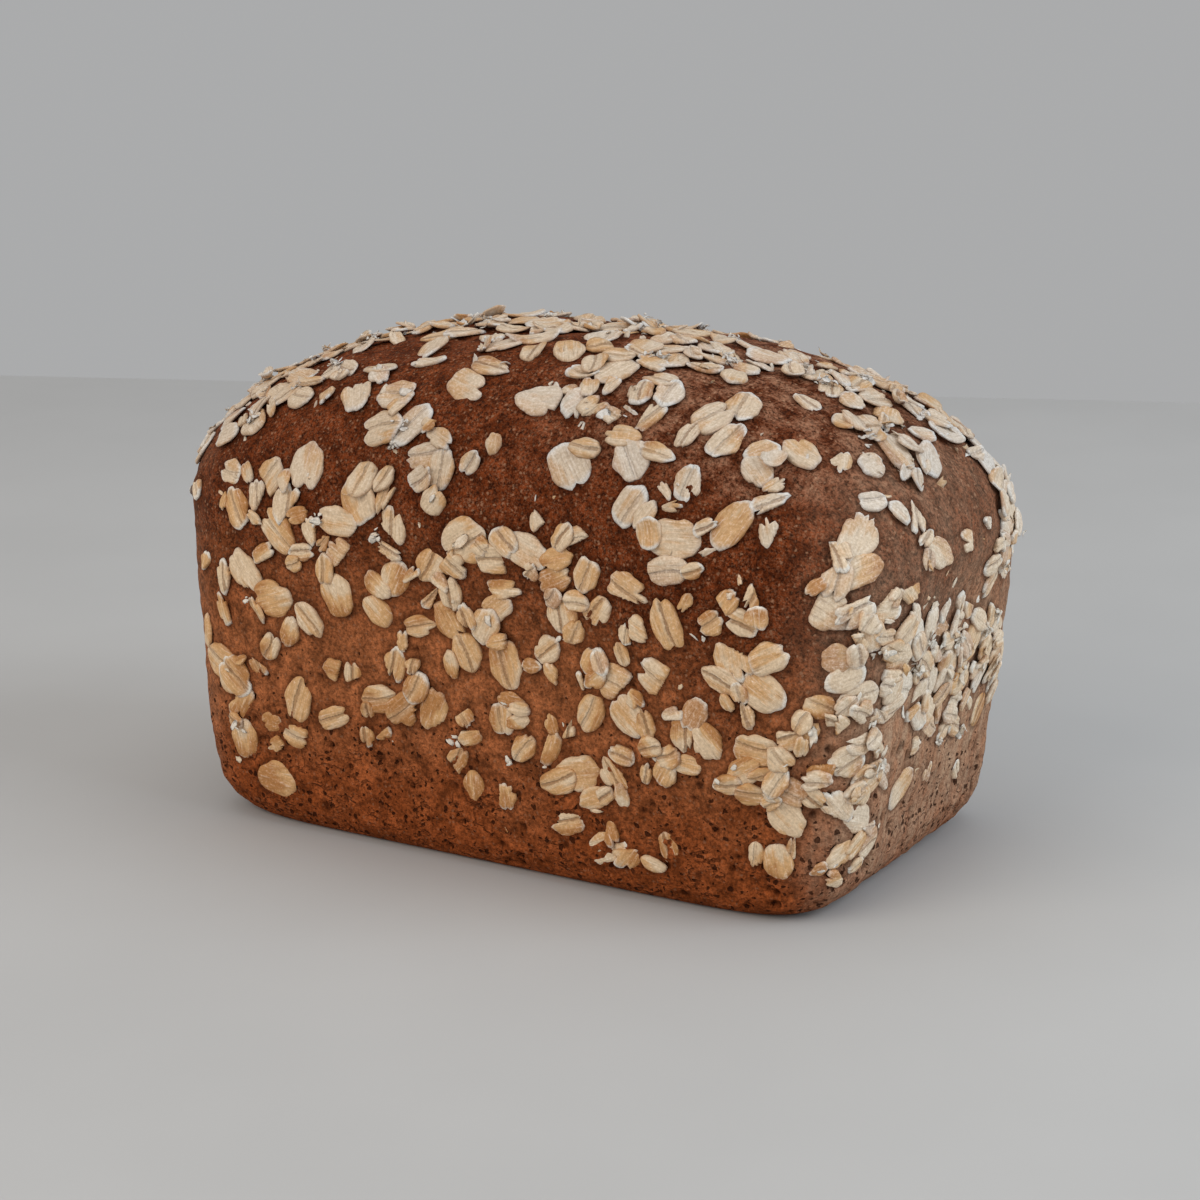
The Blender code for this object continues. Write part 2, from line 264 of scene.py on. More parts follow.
# A flake's rim, in shares of its plain oval
LOBE_COUNTS = (2, 3, 5, 7)
LOBE_DEPTHS = (0.01, 0.035)
RIM_ROUGHNESS = (0.02, 0.05)
RIM_GRAIN = 4.5
TORN_ROUGHER = 0.04
NOTCH_COUNTS = (0, 1, 1, 2, 3)
NOTCH_SPREAD = 0.55
NOTCH_DEPTHS = (0.08, 0.30)
NOTCH_WIDTHS = (0.10, 0.24)
TORN_DEEPER = 0.2
BREAK_COUNTS = (1, 1, 2)
BREAK_PLACES = (0.25, 0.75)
BREAK_JAG = 0.10
NARROWEST = 0.18

# A flake's crease, relief and curl; on the walls the tin pressed it flat
CREASED = 0.52
CREASE_LINES = (0.15, 1.0)
CREASE_PLACES = (-0.18, 0.18)
CREASE_DEPTHS = (0.16 * MM, 0.34 * MM)
CREASE_BENDS = (-0.22, 0.22)
CREASE_WIDTH = 0.22
CREASE_ENDS = (0.75, 1.0)
THICKNESS_SHARES = (0.78, 1.12)
CURLED = 0.14
CURLED_MORE = 2.2
LONG_CURLS = (-0.15 * MM, 0.9 * MM)
WIDE_CURLS = (-0.10 * MM, 0.75 * MM)
TWIST = 0.35 * MM
TIP = 0.32 * MM
PRESSED_CURL = 0.15
PRESSED_TWIST = 0.2
PRESSED_TIP = 0.25
# Waves a millimetre along and across the flake, their offset from flake to flake and height
RIPPLES = ((0.16, 0.95, 7.7, 0.26 * MM), (0.42, 0.50, 3.3, 0.16 * MM))

# How toasted and floury a flake is: means and spreads, and what its place adds; the toast added low on the
# near left is painted shade
GILT = 0.72
BELLY = (-0.10, 0.40)
FRAYED = (0.30, 0.34)
TORN_FRAYED = 0.25
FRAYED_RIM = (0.70, 1.0)
FRAYED_TIPS = (0.40, 0.95)
LOW_WALL = (16 * MM, 42 * MM)
NEAR_ENDS = (72 * MM, 92 * MM)
SHADED_HEIGHTS = (30 * MM, 74 * MM)
SHADED_LENGTHS = (-30 * MM, 45 * MM)
SUNK_LOW = 0.34 * MM
SUNK_PRESSED = 0.10 * MM
WARMTH = (0.38, 0.24)
WARMER_LOW = 0.22
WARMER_SHADED = 0.34
COOLER_CROWN = 0.18
COOLER_ENDS = 0.26
HALF_SUNK = 0.14
HALF_SUNK_WARMTH = 0.75
HALF_SUNK_DEPTH = 0.22 * MM
MOST_TOASTED = 1.25
FLOUR = (0.08, 0.10)
FLOUR_ENDS = 0.24
FLOUR_CROWN = 0.12
MOST_FLOURED = 0.85
MAPS_APART = 40
FLAKE_MARKS = ("toast", "flour", "rim", "crease", "lined")

# How shards are made
SHARD_SEED = 31
HEAPED_SHARDS = 0.62
SHREDDED_EVERY = 11
HEAP_REACH = 0.85 * MM
HEAP_HEIGHT = 0.9 * MM
HEAPED_LONGEST = 2.9 * MM
SHARD_WIDTHS = (0.26, 0.72)
SHARD_THICKNESS = (0.16 * MM, 0.36 * MM)
SHARDS_ON_WALL = 0.16
SHARD_SPREAD = 0.55
SHARD_SIZE_CURVE = 0.55
# Spread of a shard's tilt and roll where it lies flat, and what lying loose adds
SHARD_TILT = (0.14, 0.42)
SHARD_ROLL = (0.08, 0.34)
HEAPED_LOOSE = 0.6
# Of a loose and of a heaped shard
SHARD_TOAST = (0.24, 0.06)
SHARD_FLOUR = (0.42, 0.92)
SHARD_TOAST_SPREAD = 0.2
SHARD_FLOUR_SPREAD = 0.26
SHARD_BEND = 0.16
SHARD_RAGGED = 0.75
SMALL_SHARD_THINNER = 0.6
SHARD_RAISED = 0.25
SHARD_RIM = 0.7
SHARD_LINED = 0.3

# The stage, in metres: the table's reach, the size of its faint clouds and where their
# shade begins and ends, and each soft light's place, size and tint
TABLE_NEAR = -0.95
TABLE_FAR = 0.528
TABLE_HALF_WIDTH = 1.2
TABLE_TURN = math.radians(22.4)
TABLE_CLOUDS = 0.12
TABLE_SHADES = (0.2, 0.8, 0.97, 1.03)
LIGHTS_AIM = Vector((0, 0, 0.05))
SOFT_LIGHTS = (
    ("window", (0.95, 0.15, 0.62), 0.8, (0.86, 0.94, 1.0)),
    ("room", (-0.35, -1.1, 0.75), 1.0, (1.0, 0.90, 0.78)),
    ("ceiling", (-0.1, 0.1, 1.3), 1.3, (1.0, 0.99, 0.97)),
)


def ramp(value, start, end):
    """0 before start, 1 after end and smooth between them."""
    share = min(1.0, max(0.0, (value - start) / (end - start)))
    return share * share * (3 - 2 * share)


def mix(start, end, share):
    return start + (end - start) * share


def metres(name, description, value):
    """A length that a user can change."""
    return FloatProperty(name=name, description=description, default=value, unit="LENGTH")


def number(name, description, value):
    """A number that a user can change."""
    kind = IntProperty if isinstance(value, int) else FloatProperty
    return kind(name=name, description=description, default=value)


def colour(name, description, value):
    """A colour that a user can change."""
    return FloatVectorProperty(
        name=name, description=description, default=(*value, 1.0), size=4, min=0, max=1, subtype="COLOR")


def position(name, description, value):
    """A point that a user can move."""
    return FloatVectorProperty(
        name=name, description=description, default=value, size=3, subtype="XYZ", unit="LENGTH")


class LoafSizes(bpy.types.PropertyGroup):
    base_length: metres("Foot length", "Length of the flat foot", 165 * MM)
    base_width: metres("Foot width", "Width of the flat foot", 94 * MM)
    crown_height: metres("Crown height", "Height of the crown without its oats", 115.8 * MM)
    shoulder_height: metres("Shoulder height", "Height of the wall that the tin formed", 75.5 * MM)
    end_lean: number("Lean of the ends", "How far an end leans out for each metre up", 0.160)
    side_lean: number("Lean of the sides", "How far a side leans out for each metre up", 0.068)
    swell: metres("Swell", "How far the gentle swells stand out", 0.45 * MM)
    pits: number("Pits", "How many open pores are pressed into the crust", 1500)


class OatSizes(bpy.types.PropertyGroup):
    seed: number("Seed", "Deals the oats out in another way", 10)
    count: number("Flakes", "How many oat flakes lie on the loaf", 880)
    late_count: number("Late flakes", "How many more lie on the thickly strewn right end", 70)
    longest: metres("Longest", "Length of the longest flake", 12.4 * MM)
    shortest: metres("Shortest", "Length of the shortest flake", 4.8 * MM)
    thickness: metres("Thickness", "How far a flake's middle stands out of the crust", 0.76 * MM)
    shards: number("Shards", "How many broken bits lie between the flakes", 950)
    shard_longest: metres("Longest shard", "Length of the longest shard", 5.0 * MM)
    shard_shortest: metres("Shortest shard", "Length of the shortest shard", 0.9 * MM)


class BakeColours(bpy.types.PropertyGroup):
    crown: colour("Crown", "Darkest baked crust on top", (0.132, 0.0270, 0.0058))
    wall: colour("Wall", "Crust where the tin shielded it", (0.294, 0.0975, 0.0355))
    foot: colour("Foot", "Crust close to the tin's bottom", (0.240, 0.058, 0.014))
    # Painted shade: the dark of the pits, pinholes, furrows and the rims of the oats
    painted_shade: colour("Pores", "Inside of the pits and pinholes", (0.028, 0.0062, 0.0020))
    bran: colour("Bran", "Pale bran specks in the crust", (0.360, 0.190, 0.110))
    # Also the colour of the painted sheen high on the right of the crown
    flour: colour("Flour", "Dusting of flour", (0.615, 0.425, 0.285))
    oat_pale: colour("Pale oat", "Floury body of a flake", (0.790, 0.600, 0.400))
    oat_straw: colour("Straw oat", "Golden skin of a flake", (0.720, 0.425, 0.190))
    oat_toasted: colour("Toasted oat", "Browned skin of a flake", (0.520, 0.240, 0.078))
    oat_crease: colour("Crease", "Brown line down the middle of a flake", (0.320, 0.150, 0.058))
    # Painted shade: a cool darkening of the oats high on the crown
    top_oat_shade: colour("Oats on top", "What the oats on the crown are darkened by", (0.81, 0.83, 0.885))
    oat_flour: colour("White oat", "Broken edges and shards", (0.850, 0.790, 0.700))


class StageSettings(bpy.types.PropertyGroup):
    camera_place: position("Camera", "Where the camera stands", (0.3240, -0.5452, 0.2245))
    camera_aim: position("Aim", "The point that the camera looks at", (0.0008, 0.0010, 0.0521))
    camera_roll: FloatProperty(
        name="Roll", description="Turn of the camera about its view", default=math.radians(-0.263),
        unit="ROTATION")
    lens: number("Lens", "Focal length in millimetres on a 36 mm sensor", 83.9)
    floor_colour: colour("Floor", "Plain pale table", (0.490, 0.490, 0.490))
    air_colour: colour("Air", "Plain grey room round the table", (0.405, 0.408, 0.412))
    window_power: number("Window", "Power of the cool light from the right, in watts", 6.5)
    room_power: number("Room", "Power of the warm light from the front, in watts", 8.0)
    ceiling_power: number("Ceiling", "Power of the even light from above, in watts", 3.6)


# The surface of the loaf


def wall_ring(share):
    """Height, half length, half width and squareness of the wall, from foot (0) to shoulder (1)."""
    sizes = bpy.context.scene.tin_loaf_sizes
    if share < FOOT_ROWS_SHARE:
        turn = share / FOOT_ROWS_SHARE * math.pi / 2
        height = FOOT_ROUND_HEIGHT * (1 - math.cos(turn))
        tucked = 1 - math.sin(turn)
    else:
        rise = (share - FOOT_ROWS_SHARE) / (1 - FOOT_ROWS_SHARE)
        height = FOOT_ROUND_HEIGHT + rise * (sizes.shoulder_height - FOOT_ROUND_HEIGHT)
        tucked = 0.0
    half_length = sizes.base_length / 2 + sizes.end_lean * height - FOOT_ROUND_ENDS * tucked
    half_width = sizes.base_width / 2 + sizes.side_lean * height - FOOT_ROUND_SIDES * tucked
    squareness = mix(FOOT_SQUARENESS, SHOULDER_SQUARENESS, height / sizes.shoulder_height)
    return height, half_length, half_width, squareness


def crown_ring(share):
    """The same for the crown, from its highest point (0) to the shoulder (1)."""
    sizes = bpy.context.scene.tin_loaf_sizes
    opened = math.sin(share * math.pi / 2) ** CROWN_STEP
    climb = math.sqrt(max(0.0, 1 - opened))
    _, half_length, half_width, _ = wall_ring(1.0)
    height = mix(sizes.shoulder_height, sizes.crown_height, climb)
    half_length *= opened ** (1 / CROWN_FULLNESS_LONG)
    half_width *= opened ** (1 / CROWN_FULLNESS_WIDE)
    return height, half_length, half_width, mix(SHOULDER_SQUARENESS, CROWN_SQUARENESS, climb)


def loaf_point(corner, pull):
    """Where a point of the cube from -1 to 1 lies on the loaf."""
    x, y = (c * (1 + pull * (1 - c * c)) for c in corner.xy)
    ring = max(abs(x), abs(y))
    if corner.z > 1 - TINY:
        height, half_length, half_width, squareness = crown_ring(ring)
    else:
        height, half_length, half_width, squareness = wall_ring((corner.z + 1) / 2)
        if corner.z < -1 + TINY:
            half_length *= ring
            half_width *= ring
    if ring < TINY:
        return Vector((0, 0, height))
    x, y = x / ring, y / ring
    reach = (abs(x) ** squareness + abs(y) ** squareness) ** (-1 / squareness)
    return Vector((half_length * x * reach, half_width * y * reach, height))


def swell(point):
    """How far the crust stands out of the plain form at a point."""
    waves = sum(
        share * math.sin(point.dot(Vector(turns)) / MM + phase) for share, turns, phase in SWELL_WAVES
    )
    return bpy.context.scene.tin_loaf_sizes.swell * waves * ramp(point.z, SWELL_STARTS, SWELL_FULL)


def push(bm, distance):
    """Moves every point along its normal by what distance(point) says."""
    bm.normal_update()
    moves = [vert.normal * distance(vert.co) for vert in bm.verts]
    for vert, move in zip(bm.verts, moves):
        vert.co += move
    bm.normal_update()


def crust(cells_long, cells_wide, cells_high, pull):
    """The bare loaf as a bmesh: a cube cut into a grid, and its points moved to the loaf's form."""
    bm = bmesh.new()
    bmesh.ops.create_cube(bm, size=2.0)
    for axis, cells in enumerate((cells_long, cells_wide, cells_high)):
        along = [e for e in bm.edges if abs(e.verts[0].co[axis] - e.verts[1].co[axis]) > TINY]
        bmesh.ops.subdivide_edges(bm, edges=along, cuts=cells - 1, use_grid_fill=True)
    for vert in bm.verts:
        vert.co = loaf_point(vert.co, pull)
    push(bm, swell)
    return bm


def waves_of(point, width_and_depth, offset):
    width, depth = width_and_depth
    return depth * noise.noise(point / width + Vector((offset, 0, 0)))


def lumps(point):
    """Broad unevenness of the crust, which the oats follow."""
    return waves_of(point, LUMP, 3.7) * ramp(point.z, SWELL_STARTS, SWELL_FULL)


def crags(point):
    """Fine unevenness of the crust between the oats."""
    rough = ramp(point.z, FLAT_FOOT, ROUGH_FROM)
    return rough * (waves_of(point, CRAG, 11.3) + waves_of(point, CRUMB, 47.9))


class Ground:
    """Picks random points of a surface, each part as often as its area."""

    def __init__(self, bm):
        bm.verts.ensure_lookup_table()
        self.corners = []
        for loops in bm.calc_loop_triangles():
            self.corners.append([(loop.vert.co.copy(), loop.vert.normal.copy()) for loop in loops])
        areas = [(b[0] - a[0]).cross(c[0] - a[0]).length for a, b, c in self.corners]
        self.areas = list(itertools.accumulate(areas))

    def pick(self, rng):
        index = bisect.bisect(self.areas, rng.random() * self.areas[-1])
        (a, na), (b, nb), (c, nc) = self.corners[min(index, len(self.corners) - 1)]
        u, v = rng.random(), rng.random()
        if u + v > 1:
            u, v = 1 - u, 1 - v
        return a + (b - a) * u + (c - a) * v, (na + (nb - na) * u + (nc - na) * v).normalized()


# How the oats were dealt out


def trail_cover(point):
    """How thickly the trails cover a point, from 0 to 1."""
    best = 0.0
    for side in (1, -1):
        turned = Vector((point.x * side, point.y * side, point.z)) / MM
        for reach, cover, *way in TRAILS:
            for start, end in itertools.pairwise(way):
                start, end = Vector(start), Vector(end)
                run = end - start
                share = min(1.0, max(0.0, (turned - start).dot(run) / run.length_squared))
                away = (turned - start - run * share).length
                best = max(best, cover * (1 - ramp(away, TRAIL_FULL * reach, TRAIL_GONE * reach)))
    return best


class Oat:
    """One rolled oat on the crust: its place, its size and how it lies over its neighbours."""

    def __init__(self, centre, normal, rng, length):
        self.centre = centre
        self.normal = normal
        self.length = length
        self.width = length * rng.uniform(OAT_SLIMMEST, OAT_ROUNDEST)
        spin = Matrix.Rotation(rng.uniform(0, math.tau), 4, "Z")
        turn = normal.to_track_quat("Z", "Y").to_matrix().to_4x4()
        self.frame = Matrix.Translation(centre) @ turn @ spin
        self.inverse = self.frame.inverted()
        self.ragged = [1 + rng.uniform(-OAT_RAGGED, OAT_RAGGED) for _ in range(OAT_SIDES)]
        self.lift = self.rise_long = self.rise_wide = 0.0

    def height(self, x, y):
        """How far its underside is lifted off the crust at a point of its own plane."""
        return self.lift + self.rise_long * x + self.rise_wide * y

    def top_over(self, point):
        """Height of its upper face over the crust if it lies under the point, and else 0."""
        near = self.inverse @ point
        if (near.x * 2 / self.length) ** 2 + (near.y * 2 / self.width) ** 2 > 1:
            return 0.0
        return self.height(near.x, near.y) + OAT_PROUD

    def rest_on(self, others):
        """Lifts and tips the oat where it lies over earlier ones, like a shingle."""
        angles = [math.tau * k / OAT_PROBES for k in range(OAT_PROBES)]
        probes = [(math.cos(a) * self.length / 2, math.sin(a) * self.width / 2) for a in angles]
        probes.append((0.0, 0.0))
        spots = [self.frame @ Vector((x, y, 0)) for x, y in probes]
        under = [max((o.top_over(spot) for o in others), default=0.0) for spot in spots]
        self.lift = sum(under) / len(under)
        self.rise_long = sum(h * x for h, (x, _) in zip(under, probes)) / sum(x * x for x, _ in probes)
        self.rise_wide = sum(h * y for h, (_, y) in zip(under, probes)) / sum(y * y for _, y in probes)
        sunk = max(h - self.height(x, y) for h, (x, y) in zip(under, probes))
        self.lift += max(0.0, sunk - OAT_GIVE)


@functools.cache
def dealt_oats():
    """The oats, largest first, gathered along the trails and thin elsewhere, and then the late ones."""
    sizes = bpy.context.scene.tin_loaf_oats
    shoulder = bpy.context.scene.tin_loaf_sizes.shoulder_height
    bm = crust(*DEALING_GRID)
    ground = Ground(bm)
    bm.free()
    rng = random.Random(sizes.seed)
    oats = []
    for _ in range(SPREAD_TRIES):
        if len(oats) == sizes.count + sizes.late_count:
            break
        late = len(oats) >= sizes.count
        length = mix(sizes.longest, sizes.shortest, (len(oats) / sizes.count) ** OAT_SIZE_CURVE)
        if late:
            length = rng.uniform(*LATE_LENGTHS)
        point, normal = ground.pick(rng)
        if point.z < BARE_FOOT or late and point.x < LATE_FROM:
            continue
        in_trail = trail_cover(point)
        loose = LOOSE_CROWN_COVER if point.z > shoulder else LOOSE_WALL_COVER
        off_foot = ramp(point.z, BARE_FOOT, SPARSE_FOOT)
        cover = max(in_trail, loose * (SPARSE_COVER + (1 - SPARSE_COVER) * off_foot))
        if rng.random() > cover:
            continue
        close = mix(CLOSE_OUTSIDE, CLOSE_IN_TRAIL, in_trail) * (LATE_CLOSE if late else 1)
        near = [o for o in oats if (o.centre - point).length < length * NEIGHBOUR_REACH]
        if any((o.centre - point).length < close * (o.length + length) / 2 for o in near):
            continue
        oat = Oat(point, normal, rng, length)
        oat.rest_on(near)
        oats.append(oat)
    return oats


@functools.cache
def pressing_ground():
    """The crust that the oats are pressed to, with its lumps and without its crags."""
    bm = crust(*PRESSING_GRID)
    push(bm, lumps)
    tree = BVHTree.FromBMesh(bm)
    bm.free()
    return tree


# Shader nodes


class Wire:
    """A node's output, on which Python's arithmetic adds Math nodes."""

    def __init__(self, finish, socket):
        self.finish = finish
        self.socket = socket

    def also(self, name):
        """Another output of the same node."""
        return Wire(self.finish, self.socket.node.outputs[name])

    def math(self, operation, *values):
        return self.finish.node("Math", {"operation": operation}, dict(enumerate(values)))

    def __add__(self, other):
        return self.math("ADD", self, other)

    def __sub__(self, other):
        return self.math("SUBTRACT", self, other)

    def __mul__(self, other):
        return self.math("MULTIPLY", self, other)

    def __pow__(self, other):
        return self.math("POWER", self, other)

    def __abs__(self):
        return self.math("ABSOLUTE", self)


class Finish:
    """A material in the making."""

    def __init__(self, name, roughness, specular):
        self.material = bpy.data.materials.new(name)
        self.material.use_nodes = True
        self.tree = self.material.node_tree
        self.shader = self.tree.nodes["Principled BSDF"]
        self.shader.inputs["Specular IOR Level"].default_value = specular
        self.shader.inputs["Roughness"].default_value = roughness
        self.place = self.node("TexCoord", output="Object")

    def node(self, kind, settings=None, sockets=None, output=0):
        """Adds a node with its settings and its sockets' values or links, and gives its output."""
        made = self.tree.nodes.new("ShaderNode" + kind)
        for name, value in (settings or {}).items():
            setattr(made, name, value)
        for name, value in (sockets or {}).items():
            if isinstance(value, Wire):
                self.tree.links.new(value.socket, made.inputs[name])
            else:
                made.inputs[name].default_value = value
        return Wire(self, made.outputs[output])

    def feed(self, name, value):
        """Links a value to the surface's own socket."""
        self.tree.links.new(value.socket, self.shader.inputs[name])

    def vector(self, operation, first, second):
        """Arithmetic on X, Y and Z at once."""
        return self.node("VectorMath", {"operation": operation}, {0: first, 1: second})

    def grain(self, size, detail=2.0, roughness=0.55, where=None):
        """Cloudy noise from 0 to 1, with features as wide as size."""
        each = size if isinstance(size, tuple) else (size,) * 3
        start = self.vector("MULTIPLY", where or self.place, tuple(1 / s for s in each))
        sockets = {"Vector": start, "Scale": 1.0, "Detail": detail, "Roughness": roughness}
        return self.node("TexNoise", {"noise_dimensions": "3D"}, sockets)

    def cells(self, size, where):
        """Distance from the nearest of many scattered points, in cell widths."""
        start = self.vector("MULTIPLY", where, (1 / size,) * 3)
        settings = {"voronoi_dimensions": "3D", "feature": "F1"}
        return self.node("TexVoronoi", settings, {"Vector": start, "Scale": 1.0})

    def stirred(self, size, reach):
        """Coordinates pushed about, so that cells lose their round form."""
        push = self.node("TexNoise", sockets={"Vector": self.place, "Scale": 1 / size}, output="Color")
        push = self.vector("SUBTRACT", push, (0.5, 0.5, 0.5))
        push = self.vector("MULTIPLY", push, (2 * reach,) * 3)
        return self.vector("ADD", self.place, push)

    def split(self, value):
        """The X, Y and Z of a place, or the red, green and blue of a colour."""
        x = self.node("SeparateXYZ", sockets={0: value})
        return x, x.also("Y"), x.also("Z")

    def attribute(self, name):
        return self.node("Attribute", {"attribute_name": name}, output="Fac")

    def between(self, value, start, end, low=0.0, high=1.0):
        """Low before start, high after end and smooth between them."""
        sockets = {"Value": value, "From Min": start, "From Max": end, "To Min": low, "To Max": high}
        return self.node("MapRange", {"interpolation_type": "SMOOTHSTEP"}, sockets)

    def blend(self, share, first, second, how="MIX"):
        """Second over first, as much as share says; a word is one of the bake's colours."""
        bake = bpy.context.scene.tin_loaf_colours
        first, second = (tuple(getattr(bake, c)) if isinstance(c, str) else c for c in (first, second))
        settings = {"data_type": "RGBA", "blend_type": how}
        return self.node("Mix", settings, {0: share, 6: first, 7: second}, output=2)

    def relief(self, height, depth):
        """Bumps as deep as depth where the height goes from 0 to 1."""
        bump = self.node("Bump", sockets={"Height": height, "Distance": depth, "Strength": 1.0})
        self.feed("Normal", bump)


def crust_finish():
    """Baked crust: dark crown, lighter wall, sandy grain, pinholes, bran and a dusting of flour, with
    painted sheen high on the right of the crown and painted shade in pits, pinholes, furrows and round the
    oats.
    """
    finish = Finish("baked_crust", 0.8, 0.05)
    between, blend = finish.between, finish.blend
    along, across, up = finish.split(finish.place)
    cloud = finish.grain(CLOUDS, 3.0)
    patch = finish.grain(PATCHES, 3.0, 0.6)
    sand = finish.grain(SAND, 3.0, 0.75)
    grit = finish.grain(GRIT, 2.0, 0.6)
    rough_up = up + (cloud - 0.5) * BAKE_WANDERS
    turned = along * between(across, *SIDES_MEET)
    low_bake = between(turned, *RIGHT_BAKE) + between(turned, *LEFT_BAKE)
    on_crown = between(rough_up + low_bake, *CROWN_BAKE)
    base = blend(between(rough_up, *FOOT_BAKE), "foot", "wall")
    base = blend(on_crown, base, "crown")
    sandy = between(sand, 0.28, 0.72, between(on_crown, 0.0, 1.0, 0.52, 0.16), 1.70)
    base = blend(1.0, base, between(patch, 0.25, 0.75, 0.56, 1.42) * sandy, "MULTIPLY")
    gritty = between(grit, 0.50, 0.66) * between(patch, 0.36, 0.62, 0.25, 1.0)
    base = blend(gritty * between(on_crown, 0.0, 1.0, 0.10, 0.42), base, "bran")
    speck = finish.cells(BRAN_CELLS, finish.stirred(*BRAN_STIR))
    luck, _, _ = finish.split(speck.also("Color"))
    bran = between(speck, 0.42, 0.18) * between(luck, 0.62, 0.86)
    base = blend(bran * between(on_crown, 0.0, 1.0, 0.38, 0.75), base, "bran")
    streaks = finish.grain(FLOUR_STREAKS, 3.0, 0.6)
    at_end = between(abs(along) + (cloud - 0.5) * END_WANDERS, *FLOURED_END)
    at_end = at_end * between(along, *LESS_ON_LEFT) * between(abs(across), *LESS_AT_CORNERS)
    dusty = between(streaks, 0.32, 0.72, 0.50, 1.0) * between(up, *SETTLED_LOW) * at_end
    dusty = dusty * between(sand, 0.34, 0.62, 0.52, 1.10)
    # High on the right of the crown, flour together with painted sheen of the window light
    strewn = between(rough_up, *FLOUR_AND_SHEEN_HIGH) * between(along, *FLOUR_AND_SHEEN_RIGHT)
    flour_and_sheen = between(sand * patch, 0.16, 0.44) * between(strewn, 0.0, 1.0, 0.02, 0.36)
    base = blend(dusty * 0.80 + flour_and_sheen, base, "flour")
    hole = finish.cells(PINHOLE_CELLS, finish.stirred(*PINHOLE_STIR))
    size, _, _ = finish.split(hole.also("Color"))
    width = (size ** 2.2) * 0.36 * between(up, *PINHOLES_LOW)
    pinhole = between(hole - width, 0.12, 0.0) * between(width, 0.03, 0.07)
    wave = finish.grain(FURROWS, 3.0, 0.6)
    furrow = between(abs(wave - 0.5), 0.035, 0.006) * between(rough_up, *FURROWS_LOW)
    furrow = furrow * between(patch, 0.46, 0.60)
    # Painted shade round the oats' rims, standing in for the shadow under their edges
    base = blend(between(finish.attribute("beside"), 1.5, 0.2) * 0.50, base, "painted_shade")
    # Painted shade in the furrows, pinholes and pits, on top of their bumps and sunk geometry
    base = blend(furrow * 0.60, base, "painted_shade")
    base = blend(pinhole * 0.85, base, "painted_shade")
    base = blend(between(finish.attribute("hollow"), 0.15, 1.0) * 0.8, base, "painted_shade")
    finish.feed("Base Color", base)
    finish.feed("Roughness", between(sand, 0.2, 0.8, 0.62, 0.9))
    finish.relief(sand * 0.8 + patch * 0.6 + grit * 0.25 - pinhole * 1.4 - furrow * 0.7, CRUST_BUMPS)
    return finish.material


def oat_finish():
    """Flattened grain: pale to toasted skin in bands, a brown crease, fine lines, floury edges and painted
    shade on the oats high on the crown.
    """
    finish = Finish("rolled_oat", 0.6, 0.30)
    between, blend = finish.between, finish.blend
    lay = finish.node("UVMap", {"uv_map": "lay"})
    toast, flour, rim, crease, lined = (finish.attribute(name) for name in FLAKE_MARKS)
    crease = abs(crease)
    cloud = finish.grain(OAT_CLOUDS, 2.0)
    fleck = finish.grain(OAT_FLECKS, 3.0, 0.7)
    band = finish.grain(OAT_BANDS, 2.0, 0.5, lay)
    streak = finish.grain(OAT_STREAKS, 3.0, 0.6, lay)
    warm = toast + (cloud - 0.5) * 0.7 + (band - 0.5) * 1.3
    skin = blend(between(warm, 0.05, 0.50), "oat_pale", "oat_straw")
    skin = blend(between(warm, 0.55, 1.10), skin, "oat_toasted")
    skin = blend(between(streak, 0.46, 0.28) * 0.40 + between(fleck, 0.50, 0.78) * 0.34, skin, "oat_flour")
    brown = between(streak, 0.56, 0.72) * between(cloud, 0.30, 0.62, 0.25, 1.0) * lined * 0.65
    skin = blend(brown, skin, "oat_crease")
    inside = between(rim, 1.0, 0.84)
    skin = blend(between(crease, 1.5, 0.5) * inside * 0.30, skin, "oat_pale")
    wander = crease + (fleck - 0.5) * 0.5 + (streak - 0.5) * 0.6 + (cloud - 0.5) * 0.6
    line = between(wander, 0.50, 0.08) * inside
    skin = blend(line * between(lined, 0.0, 1.0, 0.12, 0.75), skin, "oat_crease")
    skin = blend(between(rim + (fleck - 0.5) * 0.20, 0.78, 1.02) * 0.38, skin, "oat_toasted")
    skin = blend(between(flour + (fleck - 0.5) * 0.5, 0.05, 0.85), skin, "oat_flour")
    _, _, up = finish.split(finish.place)
    # Painted shade: oats high on the crown darkened and cooled
    skin = blend(between(up, *DARKER_HIGH), skin, "top_oat_shade", "MULTIPLY")
    shade = between(fleck, 0.2, 0.8, 0.80, 1.16) * between(streak, 0.2, 0.8, 1.10, 0.86)
    finish.feed("Base Color", blend(1.0, skin, shade, "MULTIPLY"))
    finish.feed("Roughness", between(fleck, 0.2, 0.8, 0.55, 0.85))
    finish.relief(fleck * 0.35 - streak * 0.5 - line * 0.7, OAT_BUMPS)
    return finish.material


# Pieces


def added(name, data):
    """Adds an object to the scene, at the origin."""
    made = bpy.data.objects.new(name, data)
    bpy.context.scene.collection.objects.link(made)
    return made


def added_mesh(name, bm, finish):
    """Adds a mesh of a bmesh's form."""
    mesh = bpy.data.meshes.new(name)
    bm.to_mesh(mesh)
    bm.free()
    mesh.materials.append(finish)
    return added(name, mesh)


def piece(name, bm, finish):
    """Adds a smooth piece of the loaf, and says what it rides on and is made of."""
    for face in bm.faces:
        face.smooth = True
    made = added_mesh(name, bm, finish)
    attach(made, "root")
    return made


def mark_rim_shade(bm):
    """Marks how far each point of the crust lies from the rim of an oat, which the crust's finish turns
    into painted shade round the oats.
    """
    beside = bm.verts.layers.float.new("beside")
    rims = [flake.rim_point(place) for flake in flakes() for place in range(RIM_PLACES)]
    tree = KDTree(len(rims))
    for number, place in enumerate(rims):
        tree.insert(place, number)
    tree.balance()
    for vert in bm.verts:
        vert[beside] = tree.find(vert.co)[2] / MM


